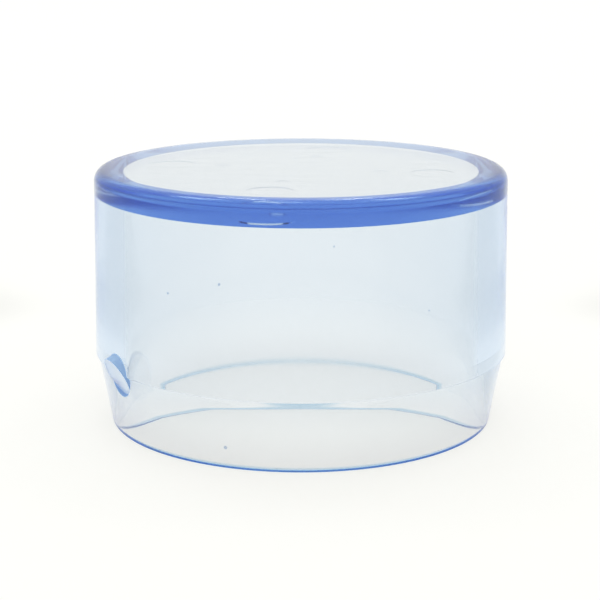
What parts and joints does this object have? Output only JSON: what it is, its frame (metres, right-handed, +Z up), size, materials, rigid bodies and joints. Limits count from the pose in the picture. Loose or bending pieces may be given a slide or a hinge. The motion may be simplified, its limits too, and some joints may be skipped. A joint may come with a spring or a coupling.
{
  "type": "clear plastic cap",
  "caption": "Short round cap moulded in clear blue-tinted plastic: thick flat plate on top, thin side wall, and a tapered skirt round an open mouth.",
  "frame": {"origin": "centre of the rim's resting plane, under the middle of the cap", "axes": "+Z up along the cap's axis, from the open mouth to the closed plate; -Y is the front"},
  "size_m": [0.056, 0.056, 0.0342],
  "materials": {
    "clear_blue_plastic": "polished transparent plastic with a pale blue tint that deepens with thickness"
  },
  "bodies": {
    "root": {"moulded_cap": "clear_blue_plastic"}
  },
  "joints": []
}
